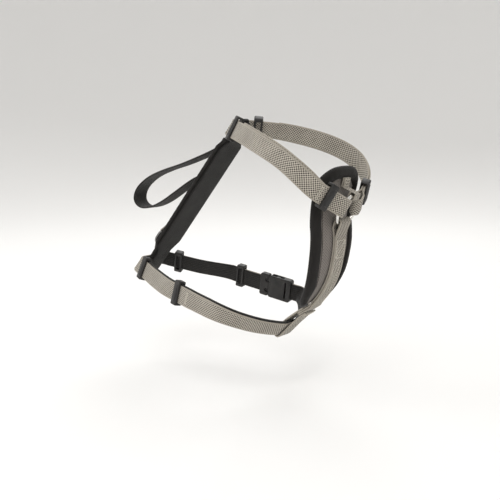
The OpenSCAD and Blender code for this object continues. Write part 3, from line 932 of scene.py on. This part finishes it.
def curve_through(points, steps):
    """A smooth curve through points, by Catmull and Rom's rule."""
    ends = [2 * points[0] - points[1]] + points + [2 * points[-1] - points[-2]]
    curve = []
    for a, b, c, d in zip(ends, ends[1:], ends[2:], ends[3:]):
        for k in range(steps):
            t = k / steps
            curve.append(0.5 * (2 * b + (c - a) * t + (2 * a - 5 * b + 4 * c - d) * t * t
                                + (3 * b - a - 3 * c + d) * t * t * t))
    return curve + [points[-1]]


outline = curve_through([face_at(-half, z) for z, x, half in shield]
                        + [face_at(half, z) for z, x, half in shield[::-1]], 8)
last = len(outline) - 1
border_narrowing = [(-0.067, 0.32), (-0.045, 1)]
border_fullness = 1.05
border_rings = []
turn = np.linspace(0, 2 * pi, 29)
outline_run = run_along(np.array(outline))
for i, spot in enumerate(outline):
    way = (outline[min(i + 1, last)] - outline[max(i - 1, 0)]).normalized()
    out = square_to(face_out(spot.y, spot.z), way)
    inward = way.cross(out)
    narrow = level(border_narrowing, spot.z)
    to_end = min(outline_run[i], outline_run[-1] - outline_run[i])
    end_taper = border_fullness * min(1.0, sqrt(to_end / end_rounding + 0.03))
    pucker = 1 + 0.012 * sin(2 * pi * outline_run[i] / pucker_pitch)
    half = border_width / 2 * narrow
    wide = half * end_taper
    high = border_thickness / 2 * end_taper * pucker
    border_rings.append([
        spot + inward * float(half - wide * power(cos(a), 0.8)) + out * float(high * power(sin(a), 0.8))
        for a in turn])
border_points = np.array(border_rings)
border = grid_on("chest_shield_border", border_points, outline_run,
                 run_along(border_points[last // 2]))
place_pad(border, border_cloth, "padded_border", "chest_pad_border")


def shield_sheet(name, low, high, inset, front, thick, swell, trim):
    """A sheet of the shield. trim narrows it towards its top, and swell crowns it."""
    heights = np.linspace(low, high, 49)
    rings = []
    for z in heights:
        seam = inset * level(border_narrowing, z) + max(0.0, z - 0.058) * trim
        half = max(0.002, shield_half(z) - seam)
        crown = swell * min(1.0, (z - low) / 0.01, (high - z) / 0.01)
        face = [(face_at(half * part, z), face_out(half * part, z), crown * (1 - part ** 4))
                for part in np.linspace(-1, 1, 29)]
        ring = [place + float(front + rise) * out for place, out, rise in face]
        ring += [place + (front - thick) * out for place, out, rise in face[::-1]]
        rings.append(ring + ring[:1])
    points = np.array(rings)
    return grid_on(name, points, heights, points[len(heights) // 2, :, 1])


def spacer_mesh(name, light, dark, hole):
    """Spacer mesh: staggered round holes between thick yarns."""
    cloth = Finish(name, Sheen_Weight=0.2, Sheen_Roughness=0.5)
    up = cloth.cloth.axis("X") * (2 * pi / hole)
    over = cloth.cloth.axis("Y") * (2 * pi / (hole * 1.2))
    cell = up.cosine() * over.cosine()
    holes = cell.between(0.15, 0.75)
    yarn = cloth.place.noise(1300, 2)
    shade = cloth.place.noise(40, 2)
    cloth.drive("Base Color", (holes * 0.75 + yarn * 0.2 + shade * 0.15).mix(light, dark))
    cloth.drive("Roughness", 0.85 - holes * 0.1)
    cloth.bump(yarn * 0.3 - holes, 0.0004, 0.7)
    return cloth


panel_cloth = spacer_mesh("panel_spacer_mesh", tint(134, 127, 121), tint(62, 58, 55), 0.0030)
panel = shield_sheet("chest_shield_panel", low=-0.064, high=0.068, inset=border_width - 0.0015,
                     front=panel_thickness / 2 - 0.0006, thick=panel_thickness, swell=0.0008, trim=1.1)
place_pad(panel, panel_cloth, "grey_mesh", "chest_pad_panel")
lining = shield_sheet("chest_shield_lining", low=-0.063, high=0.075, inset=0.0045,
                      front=-border_thickness / 2 + 0.0010, thick=0.0026, swell=0, trim=1.0)
place_pad(lining, lining_cloth, "lining_mesh", "chest_pad_lining")

seam_paths = []
for side in (-1, 1):
    seam = []
    for z in np.linspace(-0.044, 0.058, 60):
        y = side * (shield_half(z) - border_width - 0.0012)
        seam.append((face_at(y, z) + (panel_thickness / 2 - 0.0003) * face_out(y, z), face_out(y, z)))
    seam_paths.append(seam)
stitches("chest_shield_seam", seam_paths, dark_thread_finish, "grey_mesh")


# ---- sternum strap and top tab ----
# Tweed webbing sewn down the middle of the shield. Its top end loops through the ring from
# below, and a narrower tab at the shield's top loops through the ring from above.

strap_lift = panel_thickness / 2 + layer_gap + webbing_thickness / 2 + 0.0006
tab_width = 0.0102
side_axis = Vector((0, -1, 0))
pinch = 0.88


def on_shield(z, off):
    return face_at(0, z) + off * face_out(0, z)


def ring_loop(end, pad, width):
    """From the pad (a list of places and outward directions), round the ring's wire at its
    top (1) or bottom (-1), and back on itself."""
    wire_middle = ring_at + end * (ring_radius - sag(width) - slide_gap) * ring_up
    past = wire_middle + end * (sag(width) + ring_wire / 2 + 0.002) * ring_up
    across = end * side_axis
    sections = [(place, across, -out) for place, out in pad]
    sections.append((past - pinch * ring_fold * ring_out, across, -ring_out))
    sections += fold(wire_middle, ring_fold, -end * ring_up, -ring_out, across)
    sections.append((past + ring_fold * ring_out, across, ring_out))
    lift = webbing_thickness + layer_gap
    sections += [(place + lift * out, across, out) for place, out in pad[::-1]]
    return sections


tab_pad = [(on_shield(z, strap_lift), face_out(0, z)) for z in (0.070, 0.066, 0.061)]
tab_finish = woven_finish("tab_weave", pale_yarn, dark_yarn, edge_yarn, tab_width, True)
top_tab = webbing("top_tab_webbing", ring_loop(1, tab_pad, tab_width), tab_width, webbing_thickness,
                  check_relief, checks)
place_piece(top_tab, tab_finish, "harness", "tweed_webbing", "chest_top_tab")

sternum_pad = [(Vector((0.0665, 0, -0.078)), Vector((0.707, 0, -0.707)))]
sternum_pad += [(on_shield(z, strap_lift), face_out(0, z)) for z in np.linspace(-0.067, 0.008, 26)]
tweed_strap("sternum_webbing", ring_loop(-1, sternum_pad, webbing_width), "sternum_strap")

strap_face = strap_lift + webbing_thickness * 1.5 + layer_gap
sternum_box_at = -0.004


def sternum_point(z, y):
    return on_shield(z, strap_face) + Vector((0, y, 0)), face_out(0, z)


stitches(
    "sternum_stitching",
    [box_path(lambda x, y: sternum_point(sternum_box_at + x, y), 0.0085, 0.0075)]
    + [[sternum_point(z, y) for z in np.linspace(-0.016, -0.064, 20)]
       for y in (-edge_row, -edge_row / 3, edge_row / 3, edge_row)]
    + [[sternum_point(z, y) for y in (-0.0036, 0, 0.0036)] for z in (0.0625, 0.0655, 0.0685)],
    thread_finish, "tweed_webbing",
)


# ---- belly loop ----
# The sternum strap's lower end is turned into a loop, which carries the girth strap at the
# middle of the belly.

belly_at = girth_points[-1]
belly_way = Vector((0.7, 0, 0.714)).normalized()
belly_out = Vector((belly_way.z, 0, -belly_way.x))
belly_room = webbing_thickness + layer_gap + slide_gap + webbing_thickness / 2 + 0.0007
belly_half = webbing_width / 2 + 0.001
sternum_end = sternum_pad[0][0]
sternum_way = (sternum_pad[1][0] - sternum_end).normalized()
sternum_out = Vector((sternum_way.z, 0, -sternum_way.x))
sewn_length = 0.009
over_sternum = 0.0042
under_sternum = -0.0020
sewn_end = sternum_end + sewn_length * sternum_way
belly_points = [
    sewn_end + over_sternum * sternum_out,
    sternum_end + over_sternum * belly_out,
    belly_at + belly_half * belly_way + belly_room * belly_out,
    belly_at - belly_half * belly_way + belly_room * belly_out,
    belly_at - (belly_half + 0.0025) * belly_way,
    belly_at - belly_half * belly_way - belly_room * belly_out,
    belly_at + belly_half * belly_way - belly_room * belly_out,
    sternum_end + under_sternum * belly_out,
    sewn_end + under_sternum * sternum_out,
]
belly_route = route(belly_points, [side_axis] * 8, [0.005] * 8)
tweed_strap("belly_loop_webbing", layer(belly_route, 0), "belly_loop")


def belly_point(x, y):
    lift = over_sternum + webbing_thickness / 2
    place = sternum_end + (sewn_length / 2 + x) * sternum_way + lift * sternum_out
    return place + Vector((0, y, 0)), sternum_out


stitches("belly_loop_stitching", [box_path(belly_point, 0.0035, 0.0075)], thread_finish,
         "tweed_webbing")


# ---- girth strap ----
# Tweed webbing over a second layer of webbing, which steps out a little on its upper side. The
# second layer is coloured near-black as painted shade, seen as a dark band along that edge. It
# passes over the back strip's tail, round the chest behind the legs, and through the belly loop.

# The under layer's near-black is painted shade: it shows as the dark band along the girth strap's upper
# edge.
painted_shade_weave = woven_finish("under_layer_painted_shade", tint(40, 37, 33), tint(14, 13, 11), tint(32, 30, 27),
                           webbing_width, False)
right_route = route(girth_points, girth_axes, girth_reach)


def backing_strap(name, sections, *nodes, body="harness"):
    """A length of the under layer, whose near-black colour is painted shade. One with no body is left
    unattached.
    """
    strap = webbing(name, sections, webbing_width, webbing_thickness, 0.00008, ribs)
    place_piece(strap, painted_shade_weave, body, "black_webbing", *nodes)
    return strap


tweed_strap("girth_webbing_right", layer(right_route, layer_off), "girth_strap_right")
backing_strap("girth_backing_webbing_right", layer(right_route, -layer_off, under_step),
              "girth_backing_right")

buckle_leg_length = (girth_left_points[side_leg + 1] - girth_left_points[side_leg]).length
buckle_way = leg(girth_left_points, side_leg)
housing_length = 0.030
plate_length = 0.012
housing_gap = 0.016
mouth_at = buckle_leg_length - housing_gap - housing_length
rear_end = 0.0295
insert_end = mouth_at - plate_length + 0.0045
front_end = mouth_at + 0.0225


def on_buckle_leg(along):
    return (girth_left_points[side_leg] + along * buckle_way, buckle_way, girth_axis)


left_route = route(girth_left_points, girth_left_axes, girth_left_reach)
buckle_cut = 1 + side_leg * (bend_steps + 1)
rear_bends = left_route[:buckle_cut]
rear_ends = [on_buckle_leg(rear_end), on_buckle_leg(insert_end)]
rear_blend = [station[0] * other_side for station in rear_ends]
front_stations = [on_buckle_leg(front_end)] + left_route[buckle_cut:]

girth_left = tweed_strap("girth_webbing_left", mirrored(layer(rear_bends + rear_ends, layer_off)),
                         "girth_strap_left", "girth_strap_left_middle", body=None)
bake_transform(girth_left)
backing_sections = layer(rear_bends, -layer_off, under_step) + layer(rear_ends, -layer_off)
backing_left = backing_strap("girth_backing_webbing_left", mirrored(backing_sections),
                             "girth_backing_left", body=None)
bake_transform(backing_left)
tweed_strap("girth_webbing_left_front", mirrored(layer(front_stations, layer_off)),
            "girth_strap_left_front")
backing_strap("girth_under_webbing_left_front", mirrored(layer(front_stations, -layer_off)))

tail_face = strap_on_pad + doubled / 2


def bar_tack(*spot):
    """A short bar of stitches across a doubled strap, clear of its slider's travel."""
    origin, way, side, out = strap_frame(*spot)
    face = origin + (layer_off + webbing_thickness / 2) * out
    return [(face + y * side, out) for y in (-0.007, 0, 0.007)]


stitches("tail_stitching", [box_path(point_on_back(tail_at, tail_face), 0.0078, 0.0105)],
         thread_finish, "tweed_webbing")
tacks = [(girth_points, girth_axes, side_leg, along, False) for along in (0.0435, 0.0455)]
tacks += [(neck_points, neck_axes, last_neck_leg, chest_slider_at - behind, left)
          for left in (False, True) for behind in (0.0115, 0.0135)]
stitches("girth_bar_tacks", [bar_tack(*spot) for spot in tacks], thread_finish, "tweed_webbing")


# ---- side release buckle ----
# A moulded buckle on the dog's left. The front housing holds the insert's two sprung arms,
# which are squeezed at the open sides to let the insert slide out.

buckle_width = webbing_width + 0.008
buckle_thickness = 0.009
buckle_wall = 0.0018
arm_thickness = 0.004
arm_y = 0.0065
cavity_half = buckle_width / 2 - buckle_wall
cavity_rise = buckle_thickness / 2 - buckle_wall
strap_room = webbing_thickness + 0.0007
slot_half = webbing_width / 2 + 0.0005
slot_start = 0.022
pocket_half = 0.0023
insert_at = mouth_at - 0.0003


def rounded_plate(name, start, length, thickness, corner):
    """A plate with corners rounded in plan, from X = start."""
    plate = block(name, (start, -buckle_width / 2, -thickness / 2),
                  (start + length, buckle_width / 2, thickness / 2))
    bpy.ops.object.mode_set(mode="EDIT")
    bpy.ops.mesh.select_all(action="DESELECT")
    bpy.ops.mesh.select_mode(type="EDGE")
    bpy.ops.object.mode_set(mode="OBJECT")
    for edge in plate.data.edges:
        a, b = (plate.data.vertices[v].co for v in edge.vertices)
        edge.select = abs(a.z - b.z) > thickness / 2
    bpy.ops.object.mode_set(mode="EDIT")
    bpy.ops.mesh.bevel(offset=corner, segments=6, affect="EDGES")
    bpy.ops.object.mode_set(mode="OBJECT")
    round_edges(plate, 0.0009, 3, 50)
    return plate


def buckle_axes(at):
    return strap_frame(girth_left_points, girth_left_axes, side_leg, at, True)


housing = rounded_plate("buckle_housing_shell", 0, housing_length, buckle_thickness, 0.003)
grip = block("housing_grip", (0.006, -0.006, buckle_thickness / 2 - 0.0004),
             (0.017, 0.006, buckle_thickness / 2 + 0.001))
combine(
    housing, "DIFFERENCE",
    block("cavity", (-0.001, -cavity_half, -cavity_rise), (0.020, cavity_half, cavity_rise)),
    block("windows", (-0.001, -buckle_width, -cavity_rise), (0.019, buckle_width, cavity_rise)),
    block("strap_slot", (slot_start, -slot_half, -0.02), (slot_start + 0.0022, slot_half, 0.02)),
    block("strap_way", (slot_start, -slot_half, -strap_room), (0.05, slot_half, strap_room)),
    grip,
)
round_edges(housing, 0.0003, 2, 50)
place_moulded(housing, buckle_axes(mouth_at), "harness", "buckle_housing")

insert = rounded_plate("buckle_insert_plate", -plate_length, plate_length,
                       buckle_thickness - 0.002, 0.0025)
tongue = block("guide_tongue", (-0.002, -0.002, -arm_thickness / 2), (0.018, 0.002, arm_thickness / 2))
round_edges(tongue, 0.0006, 2)
combine(insert, "UNION", tongue)
combine(
    insert, "DIFFERENCE",
    block("insert_slot", (-plate_length - 0.001, -slot_half, -strap_room),
          (-plate_length + 0.005, slot_half, strap_room)),
    block("upper_pocket", (-0.0048, arm_y - pocket_half, -0.02), (0.0015, arm_y + pocket_half, 0.02)),
    block("lower_pocket", (-0.0048, -arm_y - pocket_half, -0.02), (0.0015, pocket_half - arm_y, 0.02)),
)
round_edges(insert, 0.0003, 2, 50)
place_moulded(insert, buckle_axes(insert_at), "buckle_insert", "buckle_insert")

arm_outline = [
    (-0.0040, 0.0065), (-0.0036, 0.0054), (-0.0025, 0.0050), (0.0165, 0.0050), (0.0165, 0.0080),
    (0.0140, 0.0128), (0.0120, 0.0132), (0.0090, 0.0134), (0.0086, 0.0080), (-0.0025, 0.0080),
    (-0.0036, 0.0076),
]
for arm_node, side in (("buckle_arm_upper", 1), ("buckle_arm_lower", -1)):
    arm = fresh_primitive(bpy.ops.mesh.primitive_circle_add, arm_node + "_prong",
                          vertices=len(arm_outline), radius=0.01, fill_type="NGON")
    for vertex, (x, y) in zip(arm.data.vertices, arm_outline):
        vertex.co = (x, side * y, -arm_thickness / 2)
    bpy.ops.object.mode_set(mode="EDIT")
    bpy.ops.mesh.select_all(action="SELECT")
    bpy.ops.mesh.extrude_region_move(TRANSFORM_OT_translate={"value": (0, 0, arm_thickness)})
    bpy.ops.mesh.select_all(action="SELECT")
    bpy.ops.mesh.normals_make_consistent(inside=False)
    bpy.ops.object.mode_set(mode="OBJECT")
    round_edges(arm, 0.0004, 3, 25)
    place_moulded(arm, buckle_axes(insert_at), arm_node, arm_node)
